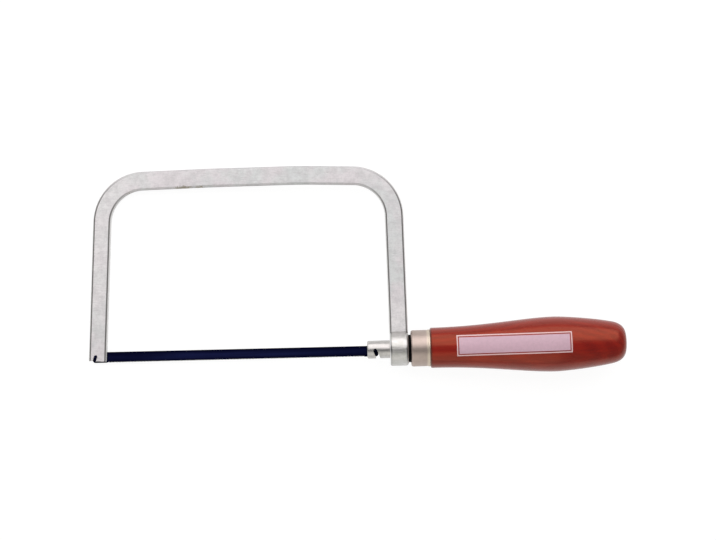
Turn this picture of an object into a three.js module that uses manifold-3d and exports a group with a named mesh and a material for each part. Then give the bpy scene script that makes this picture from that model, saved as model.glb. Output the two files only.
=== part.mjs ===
// Mini hacksaw: a flat steel bar bent into a bow, a pinned blade and a turned wooden handle that
// screws onto the tension rod. Millimetres. The saw lies on its side: +X runs along the tool axis
// towards the handle, +Y towards the back of the bow, and +Z is up.
import * as THREE from 'three';
import { mergeVertices } from 'three/addons/utils/BufferGeometryUtils.js';
import Module from 'manifold-3d';

// Blade, with a wavy set: the tooth line swings from side to side
const pinSpan = 150; // between the two pin centres
const bladeThickness = 0.65;
const bladeHeight = 5.7; // back to tooth tips
const bladeOverhang = 1.7; // past each pin centre
const pinAboveMiddle = 0.5; // pin centres sit nearer to the blade's back
const bladeCorner = 0.8; // clipped corners at both ends
const plainEnd = 7.5; // toothless length at each end
const toothPitch = 25.4 / 32;
const toothDepth = 0.45;
const toothRakeRun = 0.12; // run of the steep cutting face
const setHeight = 1.3; // strip above the tips that is waved
const setSwing = 0.14;
const setWave = 6.4; // length of one wave
const pinDiameter = 1.4;
const pinLength = 5;
const pinChamfer = 0.2;

// Bow: one bar, bent edgewise at the corners and rolled flatwise into the eye
const barWidth = 10;
const barThickness = 4;
const barEdgeRadius = 1.3;
const bowHeight = 94.9; // tool axis to the mid-line of the back
const frontLean = 3.6; // degrees, legs lean inwards
const rearLean = 0.5;
const frontDroop = 0.9; // degrees, the back falls off towards each corner
const rearDroop = 2.4;
const frontDroopLength = 62; // from the leg's foot to the end of the back's straight middle
const rearDroopLength = 50;
const frontCornerRadius = 22.9; // of the mid-line
const rearCornerRadius = 22.2;
const droopRadius = 400;
const eyeNeck = 8; // straight, upright leg above the eye's set-back
const setBackRadius = 4; // bend that centres the eye under the leg
const eyeSeam = 0.4; // between the rolled end and the leg
const noseDrop = 1.55; // nose end below the tool axis
const frontPinInset = 4.2; // pin centre to the leg's outer edge
const frontPinRise = 0.85; // pin centre above the tool axis

// Tension rod: slotted head, then a shank for the thread
const rodDiameter = 9.6;
const rodReach = 12.1; // head standing out of the eye at full tension
const rodChamfer = 0.5;
const rearPinInset = 4.2; // pin centre to the head's end
const rearPinDrop = 0.3; // pin centre below the tool axis
const releaseTravel = 5; // rod travel that frees the blade
const shankDiameter = 6;
const shoulderDepth = 4; // shank starts this far inside the eye
const shankPastNut = 11;

// Notches for the pins, leaning so that tension pulls each pin to the closed end
const notchLean = 20; // degrees from square to the blade
const notchOverrun = 6; // cutter past the open end

// Handle end
const washerDiameter = 14.8;
const washerThickness = 1.2;
const washerEdge = 0.25;
const ferruleDiameter = 19.5;
const ferruleLength = 10.3;
const ferruleWall = 0.9;
const ferruleEdgeRadius = 1;
const ferruleBeadWidth = 1.3;
const ferruleBeadHeight = 0.22;
const nutAcrossFlats = 10;
const nutThickness = 5;
const nutChamfer = 0.45;
const handleLength = 105.2;
const handleNeckDiameter = 21.64;
const handleEdgeRadius = 0.7;
const handleBellyDiameter = 29.52;
const handleBellyPlace = 67; // from the handle's front
const handleHipDiameter = 22.5; // where the butt starts to round over
const handleHipSlope = 0.21; // fall of the radius there
const handleButtLength = 7.3; // hip to flat end
const handleButtDiameter = 7; // flat end
const boreRoom = 1.5; // behind the shank's end

// Pull of the handle's curves at their ends, as shares of each curve's own run
const neckPull = 0.47;
const bellyPull = 0.25;
const fallPull = 0.14;
const hipPull = 0.34;
const roundPull = 0.92;
const buttPull = 0.21;

// Clearances
const pinSeatGap = 0.05; // pin in its blade hole
const frontPinClearance = 0.12; // pin in its notch
const rearPinClearance = 0.3;
const slitClearance = 0.2; // each side of the blade
const slitRoom = 0.5; // past the blade's back and end
const rodClearance = 0.3; // radial, in the eye
const shankClearance = 0.3; // radial, in washer, ferrule, nut and wood
const faceGap = 0.1; // between stacked faces
const tenonClearance = 0.2; // wood in the ferrule, nut in the wood

// Facets
const turnFacets = 40;
const shankFacets = 20;
const pinFacets = 16;
const edgeFacets = 3; // per rounded bar edge
const arcFacets = 4; // per rounded edge of a turned piece
const curveFacets = 10; // per swelling curve of the handle
const bendStep = THREE.MathUtils.degToRad(10);

// Places along the tool axis, from the middle of the eye
const eyeFront = -barWidth / 2;
const eyeBack = barWidth / 2;
const rodEnd = eyeFront - rodReach;
const rearPinX = rodEnd + rearPinInset;
const bladeTilt = Math.asin((frontPinRise + rearPinDrop) / pinSpan);
const frontPinX = rearPinX - pinSpan * Math.cos(bladeTilt);
const frontLegX = frontPinX - frontPinInset + barWidth / 2;
const washerFront = eyeBack + faceGap;
const ferruleFront = washerFront + washerThickness + faceGap;
const nutFront = ferruleFront + ferruleWall + faceGap;
const nutBack = nutFront + nutThickness;
const shankEnd = nutBack + shankPastNut;
const handleFront = ferruleFront + ferruleLength + faceGap;

const wasm = await Module();
wasm.setup();

// A closed geometry as a solid that can be joined and cut
function toSolid(geometry) {
  const bare = geometry.clone();
  bare.deleteAttribute('normal');
  bare.deleteAttribute('uv');
  const merged = mergeVertices(bare, 1e-4);
  const index = merged.index.array;
  const triangles = [];
  for (let i = 0; i < index.length; i += 3) {
    const [a, b, c] = [index[i], index[i + 1], index[i + 2]];
    if (a !== b && b !== c && c !== a) triangles.push(a, b, c);
  }
  const vertProperties = new Float32Array(merged.attributes.position.array);
  const triVerts = new Uint32Array(triangles);
  return new wasm.Manifold(new wasm.Mesh({ numProp: 3, vertProperties, triVerts }));
}

function toGeometry(solid) {
  const mesh = solid.getMesh();
  const geometry = new THREE.BufferGeometry();
  geometry.setAttribute('position', new THREE.BufferAttribute(mesh.vertProperties, 3));
  geometry.setIndex(new THREE.BufferAttribute(mesh.triVerts, 1));
  geometry.computeVertexNormals();
  return geometry;
}

function cut(geometry, ...cutters) {
  const solid = cutters.reduce((rest, cutter) => rest.subtract(toSolid(cutter)), toSolid(geometry));
  return toGeometry(solid);
}

// A turned piece about the tool axis; the outline runs in (along, radius) from front to back
function turned(outline, facets) {
  const profile = outline.map(([along, radius]) => new THREE.Vector2(radius, along));
  return new THREE.LatheGeometry(profile, facets).rotateZ(-Math.PI / 2);
}

// An outline's points: straights keep their ends, arcs and curves are cut into facets
function pathPoints(path) {
  const points = [];
  path.curves.forEach((curve) => {
    const curved = curve.isCubicBezierCurve ? curveFacets : arcFacets;
    const spots = curve.getPoints(curve.isLineCurve ? 1 : curved);
    points.push(...(points.length ? spots.slice(1) : spots));
  });
  return points.map((point) => [point.x, point.y]);
}

// A round bar along the tool axis between two places
function roundCutter(from, to, diameter, facets) {
  const length = to - from;
  const bar = new THREE.CylinderGeometry(diameter / 2, diameter / 2, length, facets);
  return bar.rotateZ(-Math.PI / 2).translate(from + length / 2, 0, 0);
}

// Joins equal rings of points into one closed skin with flat ends
function loft(rings) {
  const count = rings[0].length;
  const positions = rings.flat().flatMap((point) => [point.x, point.y, point.z]);
  const index = [];
  for (let r = 0; r + 1 < rings.length; r += 1) {
    for (let i = 0; i < count; i += 1) {
      const a = r * count + i;
      const b = r * count + ((i + 1) % count);
      index.push(a, b, b + count, a, b + count, a + count);
    }
  }
  const last = (rings.length - 1) * count;
  for (let i = 1; i + 1 < count; i += 1) {
    index.push(0, i + 1, i);
    index.push(last, last + i, last + i + 1);
  }
  const geometry = new THREE.BufferGeometry();
  geometry.setAttribute('position', new THREE.Float32BufferAttribute(positions, 3));
  geometry.setIndex(index);
  geometry.computeVertexNormals();
  return geometry;
}

// Straights and arcs through corners given as [x, y, radius]; the two ends have no radius
function roundedLine(corners) {
  const curves = [];
  const spots = corners.map(([x, y]) => new THREE.Vector2(x, y));
  let from = spots[0];
  for (let i = 1; i + 1 < spots.length; i += 1) {
    const radius = corners[i][2];
    const back = spots[i - 1].clone().sub(spots[i]).normalize();
    const ahead = spots[i + 1].clone().sub(spots[i]).normalize();
    const half = Math.acos(back.dot(ahead)) / 2;
    const reach = radius / Math.tan(half);
    const inward = back.clone().add(ahead).normalize();
    const centre = spots[i].clone().addScaledVector(inward, radius / Math.sin(half));
    const arcStart = spots[i].clone().addScaledVector(back, reach);
    const arcEnd = spots[i].clone().addScaledVector(ahead, reach);
    curves.push(new THREE.LineCurve(from, arcStart));
    curves.push(arc(centre, radius, arcStart.clone().sub(centre).angle(),
      arcEnd.clone().sub(centre).angle(), back.cross(ahead) > 0));
    from = arcEnd;
  }
  curves.push(new THREE.LineCurve(from, spots.at(-1)));
  return curves;
}

function arc(centre, radius, start, end, clockwise) {
  return new THREE.EllipseCurve(centre.x, centre.y, radius, radius, start, end, clockwise);
}

// Points and directions along joined curves: the ends of straights, and steps around bends
function walk(curves) {
  const steps = [];
  curves.forEach((curve) => {
    const bend = curve.isLineCurve ? 0 : curve.getLength() / curve.xRadius;
    const count = curve.isLineCurve ? 1 : Math.max(2, Math.ceil(bend / bendStep));
    for (let i = steps.length ? 1 : 0; i <= count; i += 1) {
      steps.push({ spot: curve.getPoint(i / count), ahead: curve.getTangent(i / count) });
    }
  });
  return steps;
}

// The bar's rounded section, in (across the width, across the thickness)
function barSection() {
  const side = barWidth / 2 - barEdgeRadius;
  const face = barThickness / 2 - barEdgeRadius;
  const section = new THREE.Path();
  section.absarc(side, face, barEdgeRadius, 0, Math.PI / 2);
  section.absarc(-side, face, barEdgeRadius, Math.PI / 2, Math.PI);
  section.absarc(-side, -face, barEdgeRadius, Math.PI, Math.PI * 1.5);
  section.absarc(side, -face, barEdgeRadius, Math.PI * 1.5, Math.PI * 2);
  const corners = section.curves.filter((curve) => curve.isEllipseCurve);
  return corners.flatMap((corner) => corner.getPoints(edgeFacets));
}

// One ring of the section around a spot of the mid-line; wide and ahead are unit vectors
function barRing(section, spot, ahead, wide) {
  const thick = ahead.clone().cross(wide);
  return section.map((p) => spot.clone().addScaledVector(wide, p.x).addScaledVector(thick, p.y));
}

// A pin's notch: round at the closed end, open past the edge, through the whole depth
function notchCutter(pinX, pinY, width, drop, depth, lean) {
  const open = drop + notchOverrun;
  const notch = new THREE.Shape();
  notch.moveTo(-width / 2, -open);
  notch.lineTo(width / 2, -open);
  notch.absarc(0, 0, width / 2, 0, Math.PI);
  notch.closePath();
  const cutter = new THREE.ExtrudeGeometry(notch, { depth, bevelEnabled: false, curveSegments: 6 });
  cutter.translate(0, 0, -depth / 2);
  return cutter.rotateZ(THREE.MathUtils.degToRad(lean)).translate(pinX, pinY, 0);
}

// The slit that takes the blade: from a low edge up past the blade's back
function slitCutter(from, to, low, pinY) {
  const top = pinY + bladeHeight / 2 - pinAboveMiddle + slitRoom;
  const width = bladeThickness + 2 * slitClearance;
  const slit = new THREE.BoxGeometry(to - from, top - low, width);
  return slit.translate((from + to) / 2, (top + low) / 2, 0);
}

function bow() {
  const rad = THREE.MathUtils.degToRad;
  const eyeRadius = rodDiameter / 2 + rodClearance + barThickness / 2;
  const bendReach = eyeRadius + setBackRadius;
  const setBackY = Math.sqrt(bendReach ** 2 - setBackRadius ** 2);
  const neckY = setBackY + eyeNeck;
  const backFront = frontLegX + frontDroopLength;
  const backRear = -rearDroopLength;

  // Where each leg's mid-line meets the drooping end of the back
  const frontSlope = Math.tan(rad(frontDroop));
  const frontTilt = Math.tan(rad(frontLean));
  const frontY = (bowHeight - frontDroopLength * frontSlope) / (1 - frontSlope * frontTilt);
  const rearSlope = Math.tan(rad(rearDroop));
  const rearTilt = Math.tan(rad(rearLean));
  const rearRise = bowHeight - rearDroopLength * rearSlope - neckY;
  const rearY = neckY + rearRise / (1 - rearSlope * rearTilt);

  const midLine = roundedLine([
    [frontLegX - noseDrop * frontTilt, -noseDrop],
    [frontLegX + frontY * frontTilt, frontY, frontCornerRadius],
    [backFront, bowHeight, droopRadius],
    [backRear, bowHeight, droopRadius],
    [(neckY - rearY) * rearTilt, rearY, rearCornerRadius],
    [0, neckY, droopRadius],
    [0, setBackY],
  ]);

  // The eye in the (Y, Z) plane: back from the leg, then around the rod to the seam
  const meet = Math.atan2(-setBackRadius, setBackY);
  const faceRadius = setBackRadius + barThickness / 2;
  const rimRadius = eyeRadius + barThickness / 2;
  const between = (bendReach ** 2 + rimRadius ** 2 - faceRadius ** 2) / (2 * bendReach * rimRadius);
  const legAngle = meet + Math.acos(between);
  const seamAngle = legAngle + eyeSeam / rimRadius;
  const eyeLine = [
    arc(new THREE.Vector2(setBackY, -setBackRadius), setBackRadius, Math.PI / 2, Math.PI + meet, false),
    arc(new THREE.Vector2(0, 0), eyeRadius, meet, seamAngle, true),
  ];

  const section = barSection();
  const up = new THREE.Vector3(0, 0, 1);
  const bowRings = walk(midLine).map(({ spot, ahead }) => {
    const along = new THREE.Vector3(ahead.x, ahead.y, 0);
    return barRing(section, new THREE.Vector3(spot.x, spot.y, 0), along, up.clone().cross(along));
  });
  const across = new THREE.Vector3(1, 0, 0);
  const eyeRings = walk(eyeLine).slice(1).map(({ spot, ahead }) => {
    const along = new THREE.Vector3(0, ahead.x, ahead.y);
    return barRing(section, new THREE.Vector3(0, spot.x, spot.y), along, across);
  });

  const notchWidth = pinDiameter + 2 * frontPinClearance;
  return cut(
    loft([...bowRings, ...eyeRings]),
    slitCutter(frontLegX - barWidth, frontLegX + barWidth, -noseDrop - notchOverrun, frontPinRise),
    notchCutter(frontPinX, frontPinRise, notchWidth, noseDrop, barThickness * 2, -notchLean),
  );
}

// Drawn level from the front pin, then tilted down to the rear pin
function blade() {
  const front = -bladeOverhang;
  const back = pinSpan + bladeOverhang;
  const top = bladeHeight / 2 - pinAboveMiddle;
  const tip = top - bladeHeight;
  const setLine = tip + setHeight;
  const root = tip + toothDepth;
  const half = bladeThickness / 2;
  const teethLength = back - front - 2 * plainEnd;
  const teeth = Math.floor(teethLength / toothPitch);
  const teethFront = front + plainEnd + (teethLength - teeth * toothPitch) / 2;
  const waves = Math.round((teeth * toothPitch) / setWave);

  // The back and the set line are straight; the tooth line rises and drops, and swings
  const ring = (x, edge, backEdge = top) => {
    const along = THREE.MathUtils.clamp((x - teethFront) / (teeth * toothPitch), 0, 1);
    const swing = setSwing * Math.sin(2 * Math.PI * waves * along);
    return [
      new THREE.Vector3(x, backEdge, half),
      new THREE.Vector3(x, setLine, half),
      new THREE.Vector3(x, edge, half + swing),
      new THREE.Vector3(x, edge, swing - half),
      new THREE.Vector3(x, setLine, -half),
      new THREE.Vector3(x, backEdge, -half),
    ];
  };
  const clipped = (x) => ring(x, tip + bladeCorner, top - bladeCorner);
  const rings = [clipped(front), ring(front + bladeCorner, tip), ring(teethFront, tip)];
  for (let tooth = 1; tooth <= teeth; tooth += 1) {
    const end = teethFront + tooth * toothPitch;
    rings.push(ring(end - toothRakeRun, root));
    rings.push(ring(end, tip));
  }
  rings.push(ring(back - bladeCorner, tip), clipped(back));

  const holeRadius = pinDiameter / 2 + pinSeatGap;
  const holes = [0, pinSpan].map((x) => {
    const hole = new THREE.CylinderGeometry(holeRadius, holeRadius, pinLength, pinFacets);
    return hole.rotateX(Math.PI / 2).translate(x, 0, 0);
  });
  return cut(loft(rings), ...holes).rotateZ(-bladeTilt);
}

// A pin stands square to the blade and is pressed through it
function bladePin() {
  const radius = pinDiameter / 2;
  const outline = [
    [-pinLength / 2, 0],
    [-pinLength / 2, radius - pinChamfer],
    [pinChamfer - pinLength / 2, radius],
    [pinLength / 2 - pinChamfer, radius],
    [pinLength / 2, radius - pinChamfer],
    [pinLength / 2, 0],
  ];
  return turned(outline, pinFacets).rotateY(-Math.PI / 2);
}

function tensionRod() {
  const radius = rodDiameter / 2;
  const shank = shankDiameter / 2;
  const shoulder = eyeBack - shoulderDepth;
  const body = turned([
    [rodEnd, 0],
    [rodEnd, radius - rodChamfer],
    [rodEnd + rodChamfer, radius],
    [shoulder - rodChamfer, radius],
    [shoulder, radius - rodChamfer],
    [shoulder, shank],
    [shankEnd - rodChamfer, shank],
    [shankEnd, shank - rodChamfer],
    [shankEnd, 0],
  ], turnFacets);
  const slitEnd = rearPinX + bladeOverhang + releaseTravel / 2 + slitRoom;
  const slit = slitCutter(rodEnd - notchOverrun, slitEnd, -rodDiameter, -rearPinDrop);
  const notchWidth = pinDiameter + 2 * rearPinClearance;
  const notch = notchCutter(rearPinX, -rearPinDrop, notchWidth, radius, rodDiameter * 2, notchLean);
  return cut(body, slit, notch);
}

function thrustWasher() {
  const hole = shankDiameter / 2 + shankClearance;
  const rim = washerDiameter / 2;
  const back = washerFront + washerThickness;
  return turned([
    [washerFront, hole],
    [washerFront, rim - washerEdge],
    [washerFront + washerEdge, rim],
    [back - washerEdge, rim],
    [back, rim - washerEdge],
    [back, hole],
    [washerFront, hole],
  ], turnFacets);
}

// A drawn cup with a rolled bead around its open end
function ferrule() {
  const hole = shankDiameter / 2 + shankClearance;
  const radius = ferruleDiameter / 2;
  const inner = radius - ferruleWall;
  const back = ferruleFront + ferruleLength;
  const beadMiddle = back - ferruleBeadWidth / 2;
  const crown = (ferruleBeadWidth ** 2 / 4 + ferruleBeadHeight ** 2) / (2 * ferruleBeadHeight);
  const spread = Math.asin(ferruleBeadWidth / 2 / crown);
  const wall = new THREE.Path();
  wall.moveTo(ferruleFront, hole);
  wall.lineTo(ferruleFront, radius - ferruleEdgeRadius);
  wall.absarc(
    ferruleFront + ferruleEdgeRadius, radius - ferruleEdgeRadius, ferruleEdgeRadius,
    Math.PI, Math.PI / 2, true,
  );
  wall.absarc(
    beadMiddle, radius + ferruleBeadHeight - crown, crown,
    Math.PI / 2 + spread, Math.PI / 2 - spread, true,
  );
  wall.lineTo(back, inner);
  wall.lineTo(ferruleFront + ferruleWall, inner);
  wall.lineTo(ferruleFront + ferruleWall, hole);
  wall.closePath();
  return turned(pathPoints(wall), turnFacets);
}

function hexBar(acrossFlats, from, to) {
  return roundCutter(from, to, acrossFlats / Math.cos(Math.PI / 6), 6);
}

function tensionNut() {
  const hole = shankDiameter + 2 * shankClearance;
  const chamfer = turned([
    [nutFront, 0],
    [nutFront, nutAcrossFlats / 2],
    [nutFront + nutChamfer, nutAcrossFlats / Math.sqrt(3)],
    [nutBack, nutAcrossFlats / Math.sqrt(3)],
    [nutBack, 0],
  ], turnFacets);
  const blank = toSolid(hexBar(nutAcrossFlats, nutFront, nutBack)).intersect(toSolid(chamfer));
  return cut(toGeometry(blank), roundCutter(nutFront - faceGap, nutBack + faceGap, hole, shankFacets));
}

// Turned from one piece of wood: tenon, square shoulder, swelling belly and rounded butt
function handle() {
  const tenonFront = ferruleFront + ferruleWall + tenonClearance;
  const tenon = ferruleDiameter / 2 - ferruleWall - tenonClearance;
  const neck = handleNeckDiameter / 2;
  const belly = handleBellyDiameter / 2;
  const hip = handleHipDiameter / 2;
  const butt = handleButtDiameter / 2;
  const bellyX = handleFront + handleBellyPlace;
  const end = handleFront + handleLength;
  const hipX = end - handleButtLength;
  const neckReach = neckPull * handleBellyPlace;
  const bellyReach = bellyPull * handleBellyPlace;
  const fallReach = fallPull * (hipX - bellyX);
  const hipReach = hipPull * (hipX - bellyX);
  const roundReach = roundPull * handleButtLength;
  const buttReach = buttPull * (hip - butt);

  const outline = new THREE.Path();
  outline.moveTo(tenonFront, 0);
  outline.lineTo(tenonFront, tenon);
  outline.lineTo(handleFront, tenon);
  outline.lineTo(handleFront, neck - handleEdgeRadius);
  outline.absarc(
    handleFront + handleEdgeRadius, neck - handleEdgeRadius, handleEdgeRadius,
    Math.PI, Math.PI / 2, true,
  );
  outline.bezierCurveTo(handleFront + neckReach, neck, bellyX - bellyReach, belly, bellyX, belly);
  outline.bezierCurveTo(
    bellyX + fallReach, belly, hipX - hipReach, hip + hipReach * handleHipSlope, hipX, hip,
  );
  outline.bezierCurveTo(
    hipX + roundReach, hip - roundReach * handleHipSlope, end, butt + buttReach, end, butt,
  );
  outline.lineTo(end, 0);

  const pocketEnd = nutBack + tenonClearance;
  const pocket = hexBar(nutAcrossFlats + 2 * tenonClearance, ferruleFront, pocketEnd);
  const boreDiameter = shankDiameter + 2 * shankClearance;
  const bore = roundCutter(ferruleFront, shankEnd + boreRoom, boreDiameter, shankFacets);
  return cut(turned(pathPoints(outline), turnFacets), pocket, bore);
}

const finish = (color, metalness, roughness) => {
  return new THREE.MeshStandardMaterial({ color, metalness, roughness });
};
const satinNickel = finish('#d3cfcd', 1, 0.38);
const bluedSteel = finish('#12122e', 0.8, 0.4);
const blackOxide = finish('#101012', 0.7, 0.5);
const warmNickel = finish('#c3ada0', 1, 0.32);
const zincPlate = finish('#b9babb', 1, 0.4);
const redWood = finish('#96382a', 0, 0.35);

const saw = new THREE.Group();
function piece(name, geometry, material, x = 0, y = 0) {
  const mesh = new THREE.Mesh(geometry, material);
  mesh.name = name;
  mesh.position.set(x, y, 0);
  saw.add(mesh);
}

piece('frame', bow(), satinNickel);
piece('blade', blade(), bluedSteel, frontPinX, frontPinRise);
piece('front_blade_pin', bladePin(), bluedSteel, frontPinX, frontPinRise);
piece('rear_blade_pin', bladePin(), bluedSteel, rearPinX, -rearPinDrop);
piece('tension_rod', tensionRod(), satinNickel);
piece('thrust_washer', thrustWasher(), blackOxide);
piece('ferrule', ferrule(), warmNickel);
piece('tension_nut', tensionNut(), zincPlate);
piece('handle', handle(), redWood);

// The origin lies under the middle of the saw, on the surface that the handle's belly touches
const reach = new THREE.Box3().setFromObject(saw);
const middle = reach.getCenter(new THREE.Vector3());
saw.position.set(-middle.x, -middle.y, -reach.min.z);
saw.updateMatrixWorld(true);

export default saw;
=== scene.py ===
import math

import bmesh
import bpy
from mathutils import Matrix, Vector
from mathutils.geometry import interpolate_bezier


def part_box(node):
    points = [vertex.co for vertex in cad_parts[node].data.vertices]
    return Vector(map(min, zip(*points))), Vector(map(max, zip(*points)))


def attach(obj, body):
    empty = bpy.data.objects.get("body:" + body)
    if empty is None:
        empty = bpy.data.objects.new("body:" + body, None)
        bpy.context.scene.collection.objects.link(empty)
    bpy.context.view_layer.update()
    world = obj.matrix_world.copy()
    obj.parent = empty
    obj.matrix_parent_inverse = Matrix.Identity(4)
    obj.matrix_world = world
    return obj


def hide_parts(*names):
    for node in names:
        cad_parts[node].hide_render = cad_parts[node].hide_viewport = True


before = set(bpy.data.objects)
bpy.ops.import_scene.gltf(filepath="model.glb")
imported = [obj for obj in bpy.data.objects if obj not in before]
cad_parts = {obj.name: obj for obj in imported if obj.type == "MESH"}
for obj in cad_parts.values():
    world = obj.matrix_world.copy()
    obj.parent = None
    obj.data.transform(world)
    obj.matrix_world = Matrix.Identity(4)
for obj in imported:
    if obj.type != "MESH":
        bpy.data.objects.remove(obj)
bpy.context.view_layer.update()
print("frame loaded:", ", ".join(sorted(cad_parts)))

# Pieces are modelled in millimetres about the tool axis, from the middle of the eye,
# and then settled into the frame in metres
millimetre = 0.001
barWidth = 10.0
handleLow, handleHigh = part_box("handle")
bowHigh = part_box("frame")[1]
toolOrigin = Vector((
    bowHigh.x - barWidth / 2 * millimetre,
    (handleLow.y + handleHigh.y) / 2,
    (handleLow.z + handleHigh.z) / 2,
))


# Camera: straight down on the saw, turned a little against the tool axis
photoView = {
    "aim": (0.00185, 0.00047),
    "aboveAxis": 0.85,
    "widthSeen": 0.3849,  # at the tool axis
    "sensor": 36.0,
    "roll": -1.80,
}


def addCamera():
    bpy.ops.object.select_all(action="DESELECT")
    place = (*photoView["aim"], toolOrigin.z + photoView["aboveAxis"])
    turn = (0, 0, math.radians(photoView["roll"]))
    bpy.ops.object.camera_add(location=place, rotation=turn)
    camera = bpy.context.object
    camera.name = "photo_camera"
    camera.data.sensor_width = photoView["sensor"]
    camera.data.lens = photoView["sensor"] * photoView["aboveAxis"] / photoView["widthSeen"]
    camera.data.clip_start = 0.01
    bpy.context.scene.camera = camera


addCamera()
print("camera placed")


# Nodes: small helpers to add a node with its settings and inputs, and to mix colours
def addNode(tree, kind, inputs=None, **settings):
    node = tree.nodes.new(kind)
    for name, value in settings.items():
        setattr(node, name, value)
    for name, value in (inputs or {}).items():
        if isinstance(value, bpy.types.NodeSocket):
            tree.links.new(value, node.inputs[name])
        else:
            node.inputs[name].default_value = value
    return node


def mixColour(tree, factor, first, second, blend="MIX"):
    inputs = {0: factor, 6: first, 7: second}
    node = addNode(tree, "ShaderNodeMix", inputs, data_type="RGBA", blend_type=blend)
    return node.outputs[2]


def maths(tree, operation, first, second=0.0, clamp=False):
    inputs = {0: first, 1: second}
    return addNode(tree, "ShaderNodeMath", inputs, operation=operation, use_clamp=clamp).outputs[0]


def spread(tree, value, fromLow, fromHigh, toLow=0.0, toHigh=1.0, smooth=False):
    ends = {"From Min": fromLow, "From Max": fromHigh, "To Min": toLow, "To Max": toHigh}
    kind = "SMOOTHSTEP" if smooth else "LINEAR"
    node = addNode(tree, "ShaderNodeMapRange", {"Value": value, **ends}, interpolation_type=kind)
    return node.outputs[0]


# None at the start and the whole amount at the end, which are in millimetres
def fade(tree, place, start, end, amount=1.0):
    return spread(tree, place, start * millimetre, end * millimetre, 0.0, amount, smooth=True)


def weigh(tree, first, firstShare, second, secondShare):
    share = maths(tree, "MULTIPLY", first, firstShare)
    return maths(tree, "ADD", share, maths(tree, "MULTIPLY", second, secondShare))


def noise(tree, vector, scale, detail=3.0, roughness=0.5):
    inputs = {"Vector": vector, "Scale": scale, "Detail": detail, "Roughness": roughness}
    return addNode(tree, "ShaderNodeTexNoise", inputs).outputs[0]


def vectorMaths(tree, operation, first, second=(0, 0, 0)):
    inputs = {0: first, 1: second}
    return addNode(tree, "ShaderNodeVectorMath", inputs, operation=operation).outputs


def objectPlace(tree, centre=(0, 0, 0), stretch=(1, 1, 1)):
    place = addNode(tree, "ShaderNodeTexCoord").outputs["Object"]
    shifted = vectorMaths(tree, "SUBTRACT", place, centre)[0]
    return vectorMaths(tree, "MULTIPLY", shifted, stretch)[0]


def axes(tree, vector):
    return addNode(tree, "ShaderNodeSeparateXYZ", {0: vector}).outputs


def readAttribute(tree, name):
    return addNode(tree, "ShaderNodeAttribute", attribute_name=name).outputs["Fac"]


def bump(tree, height, distance, strength=1.0):
    inputs = {"Height": height, "Distance": distance, "Strength": strength}
    return addNode(tree, "ShaderNodeBump", inputs).outputs[0]


# Light: a long softbox on the side of the bow's back, a weaker and warmer one opposite, which
# stops short of the handle's end, and a grey dome
studio = {
    "key": {
        "place": (0.0, 0.717, 0.697),
        "size": (2.4, 1.3),
        "power": 17.2,
        "colour": (1.0, 0.965, 0.965),
    },
    "fill": {
        "place": (-0.80, -0.82, 0.57),
        "size": (2.2, 1.02),
        "power": 5.6,
        "colour": (1.0, 0.98, 0.92),
    },
    "domeTop": (0.22, 0.22, 0.22, 1),
    "domeRim": (0.36, 0.36, 0.36, 1),
}


def addSoftbox(name, box):
    bpy.ops.object.select_all(action="DESELECT")
    bpy.ops.object.light_add(type="AREA", location=box["place"])
    lamp = bpy.context.object
    lamp.name = name
    away = Vector((0, *box["place"][1:]))
    lamp.rotation_euler = away.to_track_quat("Z", "Y").to_euler()
    lamp.data.shape = "RECTANGLE"
    lamp.data.size, lamp.data.size_y = box["size"]
    lamp.data.energy = box["power"]
    lamp.data.color = box["colour"]
    lamp.visible_camera = False


def addDome():
    dome = bpy.data.worlds.new("studio_dome")
    bpy.context.scene.world = dome
    dome.use_nodes = True
    tree = dome.node_tree
    tree.nodes.clear()
    direction = addNode(tree, "ShaderNodeTexCoord").outputs["Generated"]
    rise = spread(tree, axes(tree, direction)["Z"], 0.2, 0.95, smooth=True)
    colour = mixColour(tree, rise, studio["domeRim"], studio["domeTop"])
    back = addNode(tree, "ShaderNodeBackground", {"Color": colour, "Strength": 1.0})
    addNode(tree, "ShaderNodeOutputWorld", {"Surface": back.outputs[0]})


addDome()
addSoftbox("key_softbox", studio["key"])
addSoftbox("fill_softbox", studio["fill"])
bpy.context.scene.view_settings.view_transform = "Standard"
print("light set")


# Floor: the saw lies on its handle's belly and on the nose, so the floor leans a little
ground = {
    "size": 16.0,
    "touches": (0.1009, 0.0, 0.00012),  # under the handle's belly
    "lean": 2.875,
    "colour": (0.14, 0.14, 0.14, 1),
    "glow": 0.92,
}


def floorWhite():
    material = bpy.data.materials.new("floor_white")
    material.use_nodes = True
    tree = material.node_tree
    tree.nodes.clear()
    paper = addNode(tree, "ShaderNodeBsdfDiffuse", {"Color": ground["colour"]})
    path = addNode(tree, "ShaderNodeLightPath")
    seen = maths(tree, "MAXIMUM", path.outputs["Is Camera Ray"], path.outputs["Is Glossy Ray"])
    seen = maths(tree, "MAXIMUM", seen, path.outputs["Is Transmission Ray"])
    strength = maths(tree, "MULTIPLY", seen, ground["glow"])
    glow = addNode(tree, "ShaderNodeEmission", {"Color": (1, 1, 1, 1), "Strength": strength})
    both = addNode(tree, "ShaderNodeAddShader", {0: paper.outputs[0], 1: glow.outputs[0]})
    addNode(tree, "ShaderNodeOutputMaterial", {"Surface": both.outputs[0]})
    return material


def addFloor():
    bpy.ops.object.select_all(action="DESELECT")
    turn = (0, math.radians(ground["lean"]), 0)
    bpy.ops.mesh.primitive_plane_add(size=ground["size"], location=ground["touches"], rotation=turn)
    floor = bpy.context.object
    floor.name = "floor"
    floor.data.materials.append(floorWhite())


addFloor()
print("floor laid")


# Modelling helpers
def modeTo(mode):
    if bpy.context.object and bpy.context.object.mode != mode:
        bpy.ops.object.mode_set(mode=mode)


def activate(piece):
    clearSelection()
    piece.select_set(True)
    bpy.context.view_layer.objects.active = piece


def clearSelection():
    modeTo("OBJECT")
    bpy.ops.object.select_all(action="DESELECT")


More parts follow.
